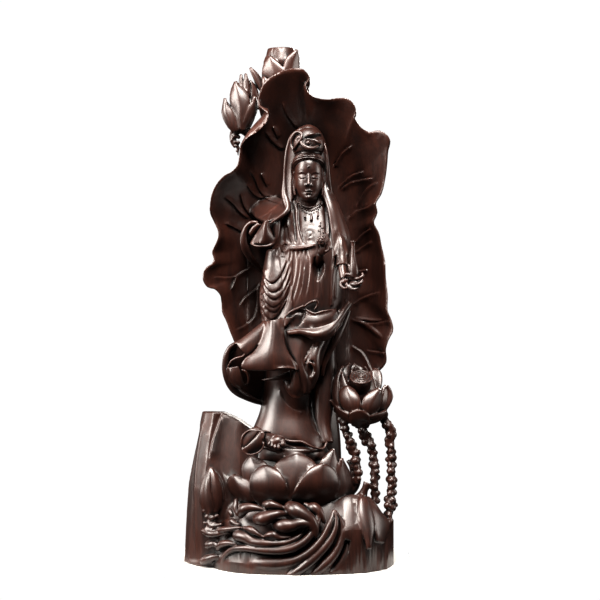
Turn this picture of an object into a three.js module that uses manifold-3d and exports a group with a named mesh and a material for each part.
// Guanyin figure standing on a lotus throne before a cupped lotus leaf, carved as one piece of wood.
// Millimetres, +Z up. The figure looks along -Y, and its left hand is on the +X side.
import * as THREE from "three";
import { mergeVertices } from "three/addons/utils/BufferGeometryUtils.js";
import Module from "manifold-3d";

// Rock plinth
const ROCK_WIDTH = 240;
const ROCK_DEPTH = 168;
const DECK_HEIGHT = 76;
const ROCK_PEAK_HEIGHT = 174;
const ROCK_TOE_HEIGHT = 24;

// Lotus throne on the deck of the rock
const THRONE_WIDTH = 144;
const THRONE_DEPTH = 124;
const THRONE_HEIGHT = 56;
const THRONE_OFFSET = 6;
const THRONE_SETBACK = -14;
const THRONE_PETALS = 7;
const PETAL_THICKNESS = 9;

// Standing figure; its forms are drawn in hundredths of this height
const FIGURE_HEIGHT = 371;
const FIGURE_SETBACK = -20;

// Lotus leaf; its rim is drawn in hundredths of its height, width and cup
const LEAF_HEIGHT = 400;
const LEAF_WIDTH = 218;
const LEAF_THICKNESS = 9;
const LEAF_CUP = 62;
const LEAF_OFFSET = 14;
const LEAF_SETBACK = 24;
const LEAF_STEM_DIAMETER = 56;

// Open flower, its stalks and the buds
const FLOWER_WIDTH = 66;
const FLOWER_HEIGHT = 62;
const FLOWER_FOOT_HEIGHT = 169;
const FLOWER_OFFSET = 80;
const FLOWER_SETBACK = -28;
const FLOWER_PETALS = 5;
const FLOWER_PETAL_THICKNESS = 5;
const STALK_DIAMETER = 9;
const STALK_BEAD_DIAMETER = 13;
const TOP_BUD_DIAMETER = 42;
const TOP_BUD_HEIGHT = 68;
const SIDE_BUD_DIAMETER = 36;
const SIDE_BUD_HEIGHT = 76;
const SMALL_BUD_DIAMETER = 18;
const SMALL_BUD_HEIGHT = 40;

// Waves on the bank before the throne
const WAVE_THICKNESS = 13;
const DROP_DIAMETER = 17;

// Levels and places that follow from the sizes above
const FOOT_LEVEL = DECK_HEIGHT + THRONE_HEIGHT;
const THRONE_CENTRE = new THREE.Vector3(THRONE_OFFSET, THRONE_SETBACK, DECK_HEIGHT);
const LEAF_HUB = new THREE.Vector3(LEAF_OFFSET, LEAF_SETBACK, FOOT_LEVEL + 0.58 * LEAF_HEIGHT);
const FLOWER_FOOT = new THREE.Vector3(FLOWER_OFFSET, FLOWER_SETBACK, FLOWER_FOOT_HEIGHT);

const CORNER_GAP = 1e-3;
const WOOD = new THREE.MeshStandardMaterial({ color: 0x2b1612, roughness: 0.35, metalness: 0 });

const wasm = await Module();
wasm.setup();

// Small helpers

const vec = (x, y, z) => new THREE.Vector3(x, y, z);

// A point of the figure, in hundredths of its height from the middle of its foot
function figurePoint(x, y, z) {
  const unit = FIGURE_HEIGHT / 100;
  return vec(x * unit, FIGURE_SETBACK + y * unit, FOOT_LEVEL + z * unit);
}

// A value read off a list of evenly spaced stations
function along(values, share) {
  const place = THREE.MathUtils.clamp(share, 0, 1) * (values.length - 1);
  const index = Math.min(Math.floor(place), values.length - 2);
  return THREE.MathUtils.lerp(values[index], values[index + 1], place - index);
}

// A closed geometry whose corners are moved by a function
function mould(geometry, place) {
  const position = geometry.getAttribute("position");
  const corner = new THREE.Vector3();
  for (let index = 0; index < position.count; index += 1) {
    corner.fromBufferAttribute(position, index);
    const moved = place(corner);
    position.setXYZ(index, moved.x, moved.y, moved.z);
  }
  return geometry;
}

// Signed volume of an indexed mesh; below zero the faces look inward
function signedVolume(corners, triangles) {
  let volume = 0;
  const [a, b, c] = [new THREE.Vector3(), new THREE.Vector3(), new THREE.Vector3()];
  for (let index = 0; index < triangles.length; index += 3) {
    a.fromArray(corners, 3 * triangles[index]);
    b.fromArray(corners, 3 * triangles[index + 1]);
    c.fromArray(corners, 3 * triangles[index + 2]);
    volume += a.dot(b.cross(c)) / 6;
  }
  return volume;
}

// A solid ready to be joined or cut, from a closed geometry
function solid(geometry) {
  const bare = geometry.clone();
  bare.deleteAttribute("normal");
  bare.deleteAttribute("uv");
  const merged = mergeVertices(bare, CORNER_GAP);
  const corners = merged.getAttribute("position").array;
  const kept = [];
  for (let index = 0; index < merged.index.count; index += 3) {
    const [a, b, c] = merged.index.array.slice(index, index + 3);
    if (a !== b && b !== c && c !== a) {
      kept.push(a, b, c);
    }
  }
  if (signedVolume(corners, kept) < 0) {
    kept.reverse();
  }
  const mesh = new wasm.Mesh({
    numProp: 3,
    vertProperties: Float32Array.from(corners),
    triVerts: Uint32Array.from(kept),
  });
  mesh.merge();
  return new wasm.Manifold(mesh);
}

// A round limb along a smooth path, its radii read off a list; flat squeezes it front to back
function limb(points, radii, { sides = 8, steps = 12, flat = 1 } = {}) {
  const path = new THREE.CatmullRomCurve3(points, false, "centripetal");
  const frames = path.computeFrenetFrames(steps);
  const shape = new THREE.CylinderGeometry(1, 1, 1, sides, steps);
  return solid(mould(shape, ({ x, y, z }) => {
    const share = y + 0.5;
    const step = Math.round(share * steps);
    const radius = along(radii, share);
    const offset = frames.normals[step].clone().multiplyScalar(x * radius);
    offset.addScaledVector(frames.binormals[step], z * radius);
    offset.y *= flat;
    return path.getPointAt(share).add(offset);
  }));
}

// A closed sheet with its thickness: a surface of across and along, both from 0 to 1
function sheet(surface, thickness, { across = 6, rows = 10 } = {}) {
  const reach = 0.02;
  const shape = new THREE.BoxGeometry(1, 1, 1, across, rows, 1);
  return solid(mould(shape, ({ x, y, z }) => {
    const [u, v] = [x + 0.5, y + 0.5];
    const middle = surface(u, v);
    const side = surface(u + reach, v).sub(surface(u - reach, v));
    const normal = side.cross(surface(u, v + reach).sub(surface(u, v - reach))).normalize();
    return middle.addScaledVector(normal, z * thickness);
  }));
}

// A band of cloth between two edges, bowed out to the front in its middle
function band(leftEdge, rightEdge, thickness, bow, options) {
  const left = new THREE.CatmullRomCurve3(leftEdge, false, "centripetal");
  const right = new THREE.CatmullRomCurve3(rightEdge, false, "centripetal");
  return sheet((u, v) => {
    const share = THREE.MathUtils.clamp(v, 0, 1);
    const overrun = (v - share) * left.getLength();
    const point = left.getPoint(share).lerp(right.getPoint(share), u);
    point.addScaledVector(left.getTangent(share), overrun);
    point.y -= bow * Math.sin(Math.PI * u);
    return point;
  }, thickness, options);
}

// A closed body lofted through stations: level, left, right, front and back of each.
// Its corners stand closer together on the front, where the relief is.
function loft(stations, { sides = 24, rows = 16, relief = () => 0 } = {}) {
  const levels = stations.map((station) => station[0]);
  const shape = new THREE.CylinderGeometry(1, 1, 1, sides, rows);
  return solid(mould(shape, ({ x, y, z }) => {
    const level = THREE.MathUtils.lerp(levels[0], levels[levels.length - 1], y + 0.5);
    const upper = Math.max(levels.findIndex((value) => value >= level), 1);
    const blend = (level - levels[upper - 1]) / (levels[upper] - levels[upper - 1]);
    const [left, right, front, back] = [1, 2, 3, 4].map((column) => (
      THREE.MathUtils.lerp(stations[upper - 1][column], stations[upper][column], blend)
    ));
    const spread = Math.hypot(x, z);
    const angle = Math.atan2(x, z);
    const crowded = angle + 0.35 * Math.sin(angle) * Math.sign(Math.PI - Math.abs(angle));
    const across = (left + right) / 2 + (spread * Math.sin(crowded) * (right - left)) / 2;
    const middle = (front + back) / 2;
    const depth = middle + spread * Math.cos(crowded) * (back - middle);
    const faced = Math.max(0, -spread * Math.cos(crowded));
    return figurePoint(across, depth - faced * relief(across, level), level);
  }));
}

// An upright or leaning axis with the half widths of a lotus about it, from foot to top
function lotusAxis(foot, top, width, depth, shares) {
  const up = top.clone().sub(foot);
  const right = up.clone().cross(vec(0, 1, 0)).normalize().negate();
  const back = up.clone().normalize().cross(right);
  return {
    foot,
    up,
    at(level, turn, grow = 0) {
      const share = along(shares, level);
      return foot.clone()
        .addScaledVector(up, level)
        .addScaledVector(right, Math.sin(turn) * ((share * width) / 2 + grow))
        .addScaledVector(back, -Math.cos(turn) * ((share * depth) / 2 + grow));
    },
  };
}

// Half width of a petal from its root to its tip, as a share of its greatest
function petalOutline(share) {
  const widest = 0.38;
  if (share <= 0 || share >= 1) {
    return 0;
  }
  if (share < widest) {
    return Math.sin((0.5 * Math.PI * share) / widest) ** 0.6;
  }
  const rest = (share - widest) / (1 - widest);
  return (1 - rest ** 2) ** 0.75;
}

// How far a whorl of petals stands proud of the core at a place in the round
function whorlRise({ count, shift, from, to, proud, flare = 0 }, turn, level) {
  const share = (level - from) / (to - from);
  const outline = petalOutline(share);
  const place = (turn / (2 * Math.PI)) * count - shift;
  const across = 2 * Math.abs(place - Math.round(place));
  if (across >= outline) {
    return 0;
  }
  return (proud + flare * share ** 2) * Math.sqrt(1 - (across / outline) ** 2);
}

// A lotus form: a turned core whose skin rises into whorls of petals
function lotus(axis, whorls, { sides, rows }) {
  const shape = new THREE.CylinderGeometry(1, 1, 1, sides, rows);
  return solid(mould(shape, ({ x, y, z }) => {
    const level = y + 0.5;
    if (Math.hypot(x, z) < 0.5) {
      return axis.foot.clone().addScaledVector(axis.up, level);
    }
    const turn = Math.atan2(x, -z);
    const rise = Math.max(...whorls.map((whorl) => whorlRise(whorl, turn, level)));
    return axis.at(level, turn, rise);
  }));
}

// A ball squeezed to three radii
function ball(centre, rx, ry, rz, sides = 10, rings = 6) {
  const shape = new THREE.SphereGeometry(1, sides, rings);
  return solid(mould(shape, ({ x, y, z }) => vec(
    centre.x + x * rx,
    centre.y + z * ry,
    centre.z + y * rz,
  )));
}

const join = (solids) => wasm.Manifold.union(solids);

// Rock: a bank that falls to the front, with a tall slab at its left and a ridge at its right

function bankHeight(share, depthShare) {
  const ridge = along([1, 1, 1, 1, 1, 1.04, 1.1, 0.98, 0.62], share);
  const fall = along([ROCK_TOE_HEIGHT / DECK_HEIGHT, 0.9, 1, 1, 1, 1, 1, 0.9, 0.8], depthShare);
  return DECK_HEIGHT * Math.min(ridge, fall * Math.max(ridge, 1));
}

function rockBank() {
  const shape = new THREE.BoxGeometry(2, 2, 1, 12, 5, 2);
  return solid(mould(shape, ({ x, y, z }) => {
    const corner = 1 - 0.16 * x * x * y * y;
    const lean = 1 - 0.06 * (z + 0.5);
    const pleat = x > 0.35 && y < -0.9 ? 3 * Math.sin(34 * x) : 0;
    return vec(
      (x * corner * lean * ROCK_WIDTH) / 2 - 0.01 * ROCK_WIDTH,
      (y * corner * ROCK_DEPTH) / 2 + 0.012 * ROCK_DEPTH + pleat,
      (z + 0.5) * bankHeight((x + 1) / 2, (y + 1) / 2),
    );
  }));
}

function rockSlab() {
  const left = [-0.5, -0.515, -0.508, -0.492, -0.48, -0.452, -0.415];
  const right = -0.1;
  const top = [1, 1, 0.97, 0.93, 0.88, 0.84];
  const shape = new THREE.BoxGeometry(1, 1, 1, 5, 4, 6);
  return solid(mould(shape, ({ x, y, z }) => {
    const [across, rise] = [x + 0.5, z + 0.5];
    const edge = THREE.MathUtils.lerp(along(left, rise), right, across);
    const front = -0.25 + 0.1 * rise + 0.07 * (1 - Math.cos(5.5 * across)) + 0.05 * across;
    const back = 0.46 - 0.14 * rise;
    return vec(
      edge * ROCK_WIDTH,
      THREE.MathUtils.lerp(front, back, y + 0.5) * ROCK_DEPTH,
      rise * along(top, across) * ROCK_PEAK_HEIGHT,
    );
  }));
}

function leafStem() {
  const half = LEAF_STEM_DIAMETER / 2;
  return limb(
    [
      vec(LEAF_HUB.x - 0.2 * half, 0.26 * ROCK_DEPTH, 0.3 * DECK_HEIGHT),
      vec(LEAF_HUB.x, 0.25 * ROCK_DEPTH, DECK_HEIGHT),
      vec(LEAF_HUB.x + 0.3 * half, LEAF_HUB.y + 0.36 * half, FOOT_LEVEL),
      vec(LEAF_HUB.x + 0.32 * half, LEAF_HUB.y + 0.22 * half, FOOT_LEVEL + 0.2 * LEAF_HEIGHT),
      vec(LEAF_HUB.x + 0.1 * half, LEAF_HUB.y + 0.25 * half, FOOT_LEVEL + 0.4 * LEAF_HEIGHT),
      LEAF_HUB.clone().add(vec(0, 0.18 * half, 0)),
    ],
    [2, 1.7, 1.1, 0.96, 0.6, 0.25].map((radius) => radius * half),
    { sides: 9, steps: 7, flat: 0.6 },
  );
}

// Waves: drops with curling tails over the bank, and long crests beneath them

// A point on the face of the bank, in hundredths of the rock's width and of the deck's height
function bankPoint(across, rise, proud = 0) {
  const toe = (100 * ROCK_TOE_HEIGHT) / DECK_HEIGHT;
  const share = THREE.MathUtils.clamp(THREE.MathUtils.inverseLerp(toe, 90, rise), 0, 1);
  const depth = THREE.MathUtils.lerp(0.465, 0.34, share);
  return vec(
    (across / 100) * ROCK_WIDTH,
    -depth * ROCK_DEPTH - proud,
    (rise / 100) * DECK_HEIGHT,
  );
}

function crest(places, widths) {
  const radii = widths.map((width) => (width * WAVE_THICKNESS) / 2);
  return limb(places.map((place) => bankPoint(...place)), radii, { sides: 5, steps: 6 });
}

function drop(head, tail, bend) {
  const middle = [(head[0] + tail[0]) / 2, (head[1] + tail[1]) / 2 + bend];
  const points = [head, middle, tail].map(([across, rise]) => bankPoint(across, rise, 1));
  const radii = [0.2, 1, 0.95, 0.6, 0.25].map((share) => (share * DROP_DIAMETER) / 2);
  return limb(points, radii, { sides: 5, steps: 4 });
}

function waves() {
  return join([
    drop([-23, 82], [-11, 90], 4),
    drop([-16, 70], [-2, 82], 3),
    drop([-7, 64], [9, 66], 4),
    drop([-1, 86], [12, 68], 7),
    drop([9, 88], [14, 76], 1),
    drop([-28, 46], [-18, 50], 1),
    crest([[-23, 50, 4], [-17, 44, 4], [-2, 40, 4], [7, 48, 4], [13, 66, 2]], [1.2, 0.9, 1, 0.9, 0.3]),
    crest(
      [[-33, 4, 0], [-28, 28, 2], [-12, 26, 3], [2, 28, 3], [12, 46, 2], [17, 80, 0]],
      [1, 1.2, 1, 1, 1.1, 0.5],
    ),
    crest([[18, 78], [19, 52, 3], [14, 26, 4], [3, 5]], [0.3, 1, 1.2, 1]),
    crest([[23, 68], [24, 52, 3], [19, 26, 4], [12, 5]], [0.3, 1, 1.2, 1]),
  ]);
}

// Small bud in relief on the slab, with its stem

function slabBud() {
  const foot = vec(-0.395 * ROCK_WIDTH, -0.2 * ROCK_DEPTH, 0.42 * ROCK_PEAK_HEIGHT);
  const top = vec(-0.385 * ROCK_WIDTH, -0.18 * ROCK_DEPTH, 0.66 * ROCK_PEAK_HEIGHT);
  const axis = lotusAxis(foot, top, 22, 20, [0.3, 0.9, 1, 0.7, 0.1]);
  const stem = limb(
    [vec(foot.x - 2, foot.y - 4, 0.2 * DECK_HEIGHT), foot.clone(), foot.clone().lerp(top, 0.3)],
    [7, 5, 5],
    { sides: 6, steps: 4 },
  );
  return join([stem, lotus(axis, [{ count: 2, shift: 0.45, from: 0, to: 1, proud: 3 }], { sides: 10, rows: 5 })]);
}

// Throne: a low closed lotus with two rows of petals

function throne() {
  const inset = 2.6 * PETAL_THICKNESS;
  const axis = lotusAxis(
    THRONE_CENTRE.clone(),
    THRONE_CENTRE.clone().add(vec(0, 0, THRONE_HEIGHT)),
    THRONE_WIDTH - inset,
    THRONE_DEPTH - inset,
    [0.84, 0.97, 1, 0.96, 0.86, 0.62],
  );
  const whorls = [
    { count: THRONE_PETALS, shift: 0, from: 0, to: 0.97, proud: 0.8 * PETAL_THICKNESS },
    { count: THRONE_PETALS, shift: 0.5, from: -0.1, to: 0.74, proud: 1.3 * PETAL_THICKNESS },
  ];
  const sunk = ball(THRONE_CENTRE, 0.4 * THRONE_WIDTH, 0.4 * THRONE_DEPTH, 0.4 * THRONE_HEIGHT, 8, 4);
  return join([sunk, lotus(axis, whorls, { sides: 6 * THRONE_PETALS, rows: 6 })]);
}

// Robe: the long folds of its front are ridges along paths of the front view

const ROBE_RIDGES = [
  { path: [[-1, 58], [-2, 50], [-5, 44]], width: 1.3, height: 0.9 },
  { path: [[1, 58], [0, 48], [-4, 40]], width: 1.3, height: 0.9 },
  { path: [[4, 60], [3, 50], [-1, 38]], width: 1.5, height: 1 },
  { path: [[7, 58], [6, 50], [4, 42], [0, 36]], width: 1.6, height: 1 },
  { path: [[11, 68], [13, 58], [12, 46]], width: 1.6, height: 1 },
  { path: [[-6, 50], [-5, 47], [-2, 50]], width: 1.1, height: 0.8 },
  { path: [[-6, 45], [-5, 42], [-2, 46]], width: 1.1, height: 0.8 },
  { path: [[-7, 40], [-5, 37], [-2, 41]], width: 1.1, height: 0.8 },
  { path: [[-4, 20], [-5, 12], [-9, 4]], width: 2, height: 1 },
  { path: [[5, 20], [6, 12], [9, 4]], width: 1.8, height: 1 },
  { path: [[0, 76], [1, 70], [2, 63]], width: 1.2, height: 0.8 },
];

function ridgeHeight(x, level, ridges) {
  const place = new THREE.Vector3(x, level, 0);
  const nearest = new THREE.Vector3();
  let total = 0;
  for (const { path, width, height } of ridges) {
    let distance = Infinity;
    for (let index = 1; index < path.length; index += 1) {
      const start = vec(path[index - 1][0], path[index - 1][1], 0);
      const end = vec(path[index][0], path[index][1], 0);
      new THREE.Line3(start, end).closestPointToPoint(place, true, nearest);
      distance = Math.min(distance, nearest.distanceTo(place));
    }
    total = Math.max(total, height * Math.exp(-((distance / width) ** 2)));
  }
  return total;
}

function robe() {
  const stations = [
    [-1.5, -9, 12, -10, 8],
    [1, -9.5, 12.5, -10.2, 8],
    [5, -11, 11, -9.8, 8],
    [10, -9.6, 8.5, -8, 8],
    [16, -8.6, 7.8, -7, 9],
    [22, -8.3, 8.4, -7, 9],
    [27, -8.6, 11, -8, 10],
    [33, -8.8, 14, -9, 11],
    [40, -7.7, 15.5, -9.5, 11.5],
    [50, -6.4, 15.5, -9.6, 12],
    [57, -6.5, 15.5, -9, 12],
    [63, -5.6, 16.2, -8, 12],
    [67, -4.6, 16, -8.2, 11],
    [71, -3.2, 14.8, -8, 10],
    [75, -2.6, 13, -6.4, 9],
    [78.5, -0.5, 11, -3, 8],
  ];
  return loft(stations, { sides: 24, rows: 19, relief: (x, level) => ridgeHeight(x, level, ROBE_RIDGES) });
}

// Head with its veil: the veil stands behind the face like a pointed hood

function head() {
  const unit = FIGURE_HEIGHT / 100;
  const veil = loft(
    [
      [66, -3, 15, -1, 11],
      [72, -3, 13.6, -2, 10],
      [77, -3, 12.6, -2.5, 9.5],
      [83, -2.9, 12, -2.8, 9],
      [89, -2.2, 11.6, -3.2, 8.4],
      [94, -1.2, 10.6, -3.6, 7.4],
      [97.5, 0.6, 9.2, -3.4, 5.4],
      [100, 4, 6.6, -1.4, 2.6],
    ],
    { sides: 12, rows: 6 },
  );
  const face = ball(figurePoint(5.6, -3.2, 83.6), 3.6 * unit, 4.2 * unit, 6 * unit, 10, 7);
  const nose = limb(
    [figurePoint(5.6, -6.8, 85.4), figurePoint(5.6, -8, 82.2)],
    [0.4 * unit, 0.8 * unit],
    { sides: 6, steps: 2 },
  );
  const ears = [1.6, 9.6].map((x) => ball(figurePoint(x, -2.6, 82.6), 0.7 * unit, 1 * unit, 3.2 * unit, 6, 4));
  const neck = limb(
    [figurePoint(5.4, 0, 74), figurePoint(5.6, -1, 81)],
    [2.8 * unit, 2.2 * unit],
    { steps: 2 },
  );
  const hair = ball(figurePoint(5.6, -2.4, 89.2), 4.4 * unit, 4.8 * unit, 2.2 * unit, 10, 5);
  const crown = ball(figurePoint(5.4, -2.6, 94), 3.6 * unit, 3.6 * unit, 3.4 * unit, 8, 5);
  return join([veil, face, nose, ...ears, neck, hair, crown]);
}

// Hands, vase and the sprig

function hands() {
  const unit = FIGURE_HEIGHT / 100;
  const raised = limb(
    [figurePoint(11, -8, 60), figurePoint(9.6, -11.4, 62), figurePoint(8.8, -12.6, 66), figurePoint(8.2, -12, 70)],
    [2.6 * unit, 1.6 * unit, 1.5 * unit, 0.6 * unit],
    { sides: 7, steps: 6 },
  );
  const forearm = limb(
    [figurePoint(15, -4, 64), figurePoint(15.2, -9, 57), figurePoint(16.6, -12, 53)],
    [2.6 * unit, 1.7 * unit, 1.3 * unit],
    { sides: 8, steps: 5 },
  );
  const fist = ball(figurePoint(18, -12.6, 51.4), 3 * unit, 2 * unit, 1.9 * unit, 8, 6);
  const vase = limb(
    [figurePoint(18.8, -12.6, 65), figurePoint(19.2, -12.6, 60), figurePoint(19.6, -12.6, 55), figurePoint(19.4, -12.4, 51)],
    [1, 0.62, 0.8, 1.5, 1.6, 0.8].map((radius) => radius * unit),
    { sides: 6, steps: 7 },
  );
  return join([raised, forearm, fist, vase]);
}

// Loose cloth: the scarf over the arm, the long sash, the overskirt and its folded hem

function leftCloth(unit) {
  const thick = 1.3 * unit;
  const scarf = band(
    [
      figurePoint(-3, -3, 75), figurePoint(-9, -5, 71.5), figurePoint(-13.4, -5, 70),
      figurePoint(-15.3, -3, 64), figurePoint(-13, 1, 58), figurePoint(-9, 3, 50),
    ],
    [
      figurePoint(-2, -6, 71), figurePoint(-7, -9.5, 66), figurePoint(-10.6, -9.5, 66),
      figurePoint(-12.6, -7, 62), figurePoint(-10, -4, 57), figurePoint(-4, -4, 50),
    ],
    thick,
    0.6 * unit,
    { across: 2, rows: 8 },
  );
  const sleeve = limb(
    [figurePoint(-2.5, -5, 73), figurePoint(-6, -8.4, 68.6), figurePoint(-8.8, -9.8, 63.4)],
    [1.2 * unit, 2.8 * unit, 3.8 * unit],
    { sides: 8, steps: 4, flat: 0.7 },
  );
  const sash = band(
    [
      figurePoint(-9, 3, 50), figurePoint(-10.5, 0, 42), figurePoint(-12.5, -2, 37),
      figurePoint(-17.4, -5, 33.3), figurePoint(-20.4, -7, 29), figurePoint(-20.8, -7, 23.4),
      figurePoint(-16.6, -6, 17), figurePoint(-8, -3, 13.6),
    ],
    [
      figurePoint(-4, -4, 50), figurePoint(-6, -6, 42), figurePoint(-8.5, -8, 36),
      figurePoint(-13.5, -10.5, 32), figurePoint(-17.4, -11, 28), figurePoint(-16.4, -10.5, 22),
      figurePoint(-11, -8, 19.6), figurePoint(-6, -5, 18),
    ],
    1.3 * thick,
    -0.6 * unit,
    { across: 2, rows: 11 },
  );
  return join([scarf, sleeve, sash]);
}

function skirtCloth(unit) {
  const thick = 1.3 * unit;
  const overskirt = band(
    [figurePoint(-7.6, -5, 46), figurePoint(-9.2, -8, 35), figurePoint(-15.2, -10, 25.4)],
    [figurePoint(0, -9.6, 46), figurePoint(-1.6, -11.5, 35), figurePoint(1.4, -11, 25.6)],
    thick,
    1.2 * unit,
    { across: 4, rows: 4 },
  );
  const apron = band(
    [figurePoint(-2, -9.4, 43), figurePoint(-1, -11.5, 32), figurePoint(1.5, -11, 24), figurePoint(3.6, -9.6, 18.4)],
    [figurePoint(8, -9, 42), figurePoint(7.4, -11, 30), figurePoint(7, -10.6, 24), figurePoint(5.4, -9.6, 19)],
    1.4 * thick,
    0.8 * unit,
    { across: 3, rows: 6 },
  );
  const swoosh = limb(
    [figurePoint(16.5, -5, 44), figurePoint(13.6, -9.5, 38), figurePoint(8.6, -11.5, 34.6), figurePoint(1, -11, 35.6)],
    [1.4 * unit, 1.7 * unit, 1.9 * unit, 0.5 * unit],
    { sides: 5, steps: 6 },
  );
  const roll = limb(
    [figurePoint(13, -7, 37), figurePoint(10, -9.6, 30), figurePoint(8, -9, 22), figurePoint(7, -7, 16)],
    [1.6 * unit, 2.2 * unit, 2.6 * unit, 1.4 * unit],
    { sides: 6, steps: 5 },
  );
  const folds = limb(
    [figurePoint(-8, -5, 24), figurePoint(-3, -7, 22.6), figurePoint(1.8, -8, 19)],
    [1.4 * unit, 2.2 * unit, 1.6 * unit],
    { sides: 6, steps: 4 },
  );
  return join([overskirt, apron, swoosh, roll, folds]);
}

function sleeveCloth(unit) {
  const upperArm = limb(
    [figurePoint(10, -1, 76), figurePoint(14.4, -4, 70), figurePoint(16.4, -6, 63), figurePoint(16, -7, 58)],
    [2.4 * unit, 3 * unit, 3 * unit, 2.4 * unit],
    { sides: 8, steps: 5 },
  );
  const hanging = band(
    [figurePoint(9.4, -7, 60), figurePoint(9.6, -10.6, 52), figurePoint(9.8, -10.6, 43.6)],
    [figurePoint(16.6, -5, 60), figurePoint(16.8, -7.6, 50), figurePoint(16.4, -6, 44)],
    1.6 * unit,
    0.6 * unit,
    { across: 3, rows: 4 },
  );
  const chestFold = limb(
    [figurePoint(9.5, -4, 76), figurePoint(11.2, -8.4, 70), figurePoint(12, -9.4, 62), figurePoint(9.2, -10, 59.6)],
    [1 * unit, 1.3 * unit, 1.4 * unit, 0.9 * unit],
    { sides: 5, steps: 4 },
  );
  return join([upperArm, hanging, chestFold]);
}

function hemAndFoot(unit) {
  const hem = limb(
    [figurePoint(-7, -5, 7), figurePoint(-11.8, -8, 6.6), figurePoint(-13.6, -9, 3), figurePoint(-10.6, -9, 1)],
    [1.2 * unit, 1.6 * unit, 1.6 * unit, 1.2 * unit],
    { sides: 5, steps: 5 },
  );
  const foot = limb(
    [figurePoint(-6, -7, 2.6), figurePoint(-5, -10, 2), figurePoint(-4, -12.6, 1.2)],
    [2 * unit, 2.2 * unit, 1.5 * unit],
    { sides: 7, steps: 3 },
  );
  return join([hem, foot]);
}

function cloth() {
  const unit = FIGURE_HEIGHT / 100;
  return join([leftCloth(unit), skirtCloth(unit), sleeveCloth(unit), hemAndFoot(unit)]);
}

// Leaf: a cup about its hub with a wavy rim; a rim point is across, forward and up from the hub,
// across in hundredths of the width, the others in hundredths of the cup and of the height

const LEAF_RIM = [
  [1, 100, 51], [-6, 100, 51], [-14, 98, 49], [-20, 92, 46], [-23, 80, 42],
  [-19, 96, 38], [-25, 100, 33.5], [-32, 94, 31], [-34, 82, 26], [-41, 86, 21],
  [-47, 96, 16], [-48.5, 92, 10], [-45, 70, 5], [-48, 72, -1], [-47, 66, -4],
  [-53, 88, -8], [-48, 84, -11.5], [-43, 66, -15], [-42, 72, -20], [-37, 50, -26],
  [-26, 30, -36], [-12, 16, -44], [-1, 10, -46], [10, 16, -45], [26, 30, -41],
  [41, 46, -35], [43.5, 56, -30], [47, 84, -23.5], [46, 74, -18], [44.5, 64, -12],
  [43, 62, -5], [40, 66, 3], [38, 56, 8], [40, 72, 12], [42, 84, 18],
  [44.5, 80, 26], [46, 96, 31], [42, 88, 33.5], [37, 82, 33], [31, 74, 34],
  [27, 84, 39], [25, 92, 43], [18, 88, 42.5], [9, 84, 42], [2, 84, 44], [4, 98, 48.5],
];

function leafSurface(rim, share, turn) {
  const edge = rim.getPoint(((turn % 1) + 1) % 1);
  const across = (edge.x / 100) * LEAF_WIDTH;
  const rise = (edge.z / 100) * LEAF_HEIGHT;
  const forward = (edge.y / 100) * LEAF_CUP;
  return vec(
    LEAF_HUB.x + across * share,
    LEAF_HUB.y - forward * share ** 3.2,
    LEAF_HUB.z + rise * share,
  );
}

function leaf() {
  const slices = 54;
  const rings = 5;
  const reach = 0.01;
  const rim = new THREE.CatmullRomCurve3(LEAF_RIM.map(([x, y, z]) => vec(x, y, z)), true);
  const shape = new THREE.SphereGeometry(1, slices, 2 * rings);
  return solid(mould(shape, ({ x, y, z }) => {
    const ring = Math.round((Math.acos(THREE.MathUtils.clamp(y, -1, 1)) / Math.PI) * 2 * rings);
    const fromHub = Math.min(ring, 2 * rings - ring);
    if (fromHub === 0) {
      const side = ring === 0 ? -0.5 : 0.5;
      return LEAF_HUB.clone().add(vec(0, side * LEAF_THICKNESS, 0));
    }
    const turn = Math.atan2(z, x) / (2 * Math.PI);
    const share = fromHub === rings ? 1 : 0.99 * (fromHub / (rings - 1)) ** 0.8;
    const middle = leafSurface(rim, share, turn);
    if (fromHub === rings) {
      return middle;
    }
    const radial = leafSurface(rim, share + reach, turn).sub(leafSurface(rim, share - reach, turn));
    const round = leafSurface(rim, share, turn + reach).sub(leafSurface(rim, share, turn - reach));
    const normal = radial.cross(round).normalize();
    const side = (ring < rings ? -1 : 1) * Math.sign(normal.y || 1);
    const thickness = LEAF_THICKNESS * (1 - 0.35 * share);
    return middle.addScaledVector(normal, (side * thickness) / 2);
  }));
}

// A closed lotus bud on its foot; a cut bud ends flat
function bud(foot, top, diameter, count, { cut = false, shift = 0 } = {}) {
  const shares = cut ? [0.3, 0.8, 1, 0.94, 0.8, 0.72] : [0.3, 0.85, 1, 0.86, 0.5, 0.06];
  const axis = lotusAxis(foot, top, 0.84 * diameter, 0.84 * diameter, shares);
  const whorl = { count, shift, from: -0.1, to: 0.84, proud: 0.08 * diameter };
  return lotus(axis, [whorl], { sides: 4 * count, rows: 5 });
}

// A point on the back of the leaf, in shares of its width, cup and height from the hub
const leafPoint = (x, y, z) => vec(
  LEAF_HUB.x + x * LEAF_WIDTH,
  LEAF_HUB.y - y * LEAF_CUP,
  LEAF_HUB.z + z * LEAF_HEIGHT,
);

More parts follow.
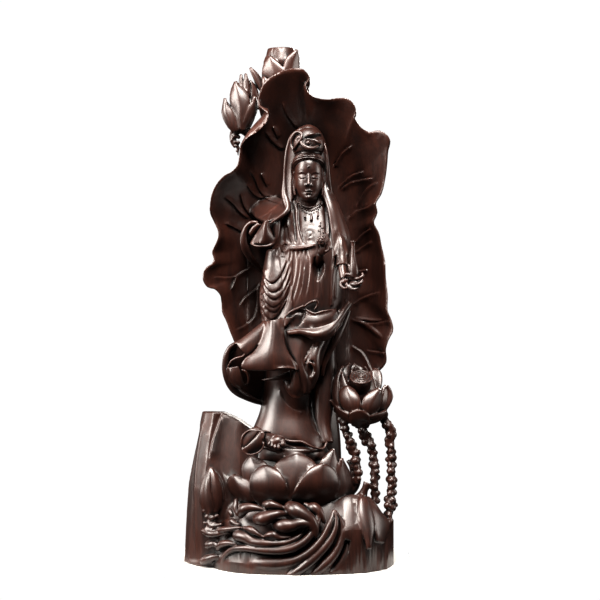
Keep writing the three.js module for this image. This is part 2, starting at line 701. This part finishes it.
function buds() {
  const topFoot = leafPoint(-0.115, 0.5, 0.592).sub(vec(0, 0, TOP_BUD_HEIGHT));
  const sideFoot = leafPoint(-0.335, 0.5, 0.322);
  const smallFoot = leafPoint(-0.352, 0.52, 0.335);
  const sepalFoot = leafPoint(-0.22, 0.8, 0.43);
  const stem = limb(
    [leafPoint(-0.25, 0.46, 0.26), leafPoint(-0.33, 0.52, 0.29), sideFoot.clone().add(vec(0, 0, 10))],
    [5, 7, 6, 8],
    { sides: 5, steps: 4 },
  );
  const topStem = limb(
    [leafPoint(-0.06, 0.02, 0.24), leafPoint(-0.1, 0.24, 0.36), topFoot.clone().add(vec(0, -3, 12))],
    [5, 8, 9],
    { sides: 6, steps: 4 },
  );
  return join([
    bud(topFoot, topFoot.clone().add(vec(0, 0, TOP_BUD_HEIGHT)), TOP_BUD_DIAMETER, 5, { cut: true, shift: 0.5 }),
    bud(sideFoot, sideFoot.clone().add(vec(4, 0, SIDE_BUD_HEIGHT)), SIDE_BUD_DIAMETER, 5),
    bud(smallFoot, smallFoot.clone().add(vec(-8, -4, SMALL_BUD_HEIGHT)), SMALL_BUD_DIAMETER, 2, { shift: 0.2 }),
    bud(sepalFoot, sepalFoot.clone().add(vec(-14, 0, 0.9 * SMALL_BUD_HEIGHT)), 0.8 * SMALL_BUD_DIAMETER, 2),
    stem,
    topStem,
  ]);
}

// Open flower: whorls of petals about a seed pod, on beaded stalks that rise from the rock

function stalk(points) {
  const path = new THREE.CatmullRomCurve3(points, false, "centripetal");
  const beads = Math.round(path.getLength() / (0.85 * STALK_BEAD_DIAMETER));
  const radii = Array.from({ length: 2 * beads + 1 }, (_, index) => (
    (index % 2 ? STALK_BEAD_DIAMETER : STALK_DIAMETER) / 2
  ));
  return limb(points, radii, { sides: 5, steps: 2 * beads });
}

function flower() {
  const half = FLOWER_WIDTH / 2;
  const count = FLOWER_PETALS;
  const top = FLOWER_FOOT.clone().add(vec(0, 0, FLOWER_HEIGHT));
  const width = FLOWER_WIDTH - 4 * FLOWER_PETAL_THICKNESS;
  const axis = lotusAxis(FLOWER_FOOT, top, width, width, [0.4, 0.86, 1, 0.98, 0.84, 0.6]);
  const whorls = [
    { count, shift: 0, from: 0.3, to: 1.05, proud: FLOWER_PETAL_THICKNESS },
    { count, shift: 0.5, from: 0.06, to: 0.74, proud: 1.7 * FLOWER_PETAL_THICKNESS },
    { count, shift: 0, from: -0.12, to: 0.34, proud: 1.2 * FLOWER_PETAL_THICKNESS, flare: 5 },
  ];
  const foot = (x, share) => vec(FLOWER_FOOT.x + x, FLOWER_FOOT.y, share * DECK_HEIGHT);
  const under = (x) => FLOWER_FOOT.clone().add(vec(x * half, 0, 6));
  return join([
    lotus(axis, whorls, { sides: 4 * count, rows: 8 }),
    stalk([under(-0.6), foot(-10, 1.75), foot(-5, 0.9)]),
    stalk([under(0), foot(12, 1.75), foot(15, 0.85)]),
    stalk([under(0.66), foot(34, 1.9), foot(33, 1.2), foot(26, 0.45)]),
  ]);
}

// Everything is one block of wood, cut flat underneath, with no sealed pockets inside

function carving() {
  const floor = solid(new THREE.BoxGeometry(4 * ROCK_WIDTH, 4 * ROCK_WIDTH, ROCK_WIDTH));
  const whole = join([
    rockBank(),
    rockSlab(),
    leafStem(),
    waves(),
    slabBud(),
    throne(),
    robe(),
    head(),
    hands(),
    cloth(),
    leaf(),
    buds(),
    flower(),
  ]);
  const block = whole.subtract(floor.translate([0, 0, -ROCK_WIDTH / 2]));
  const skins = block.decompose().filter((skin) => skin.volume() > 0);
  return wasm.Manifold.union(skins);
}

function geometryOf(manifold) {
  const { vertProperties, triVerts } = manifold.getMesh();
  const geometry = new THREE.BufferGeometry();
  geometry.setAttribute("position", new THREE.BufferAttribute(vertProperties, 3));
  geometry.setIndex(new THREE.BufferAttribute(triVerts, 1));
  geometry.computeVertexNormals();
  return geometry;
}

const group = new THREE.Group();
const mesh = new THREE.Mesh(geometryOf(carving()), WOOD);
mesh.name = "guanyin_carving";
group.add(mesh);

export default group;
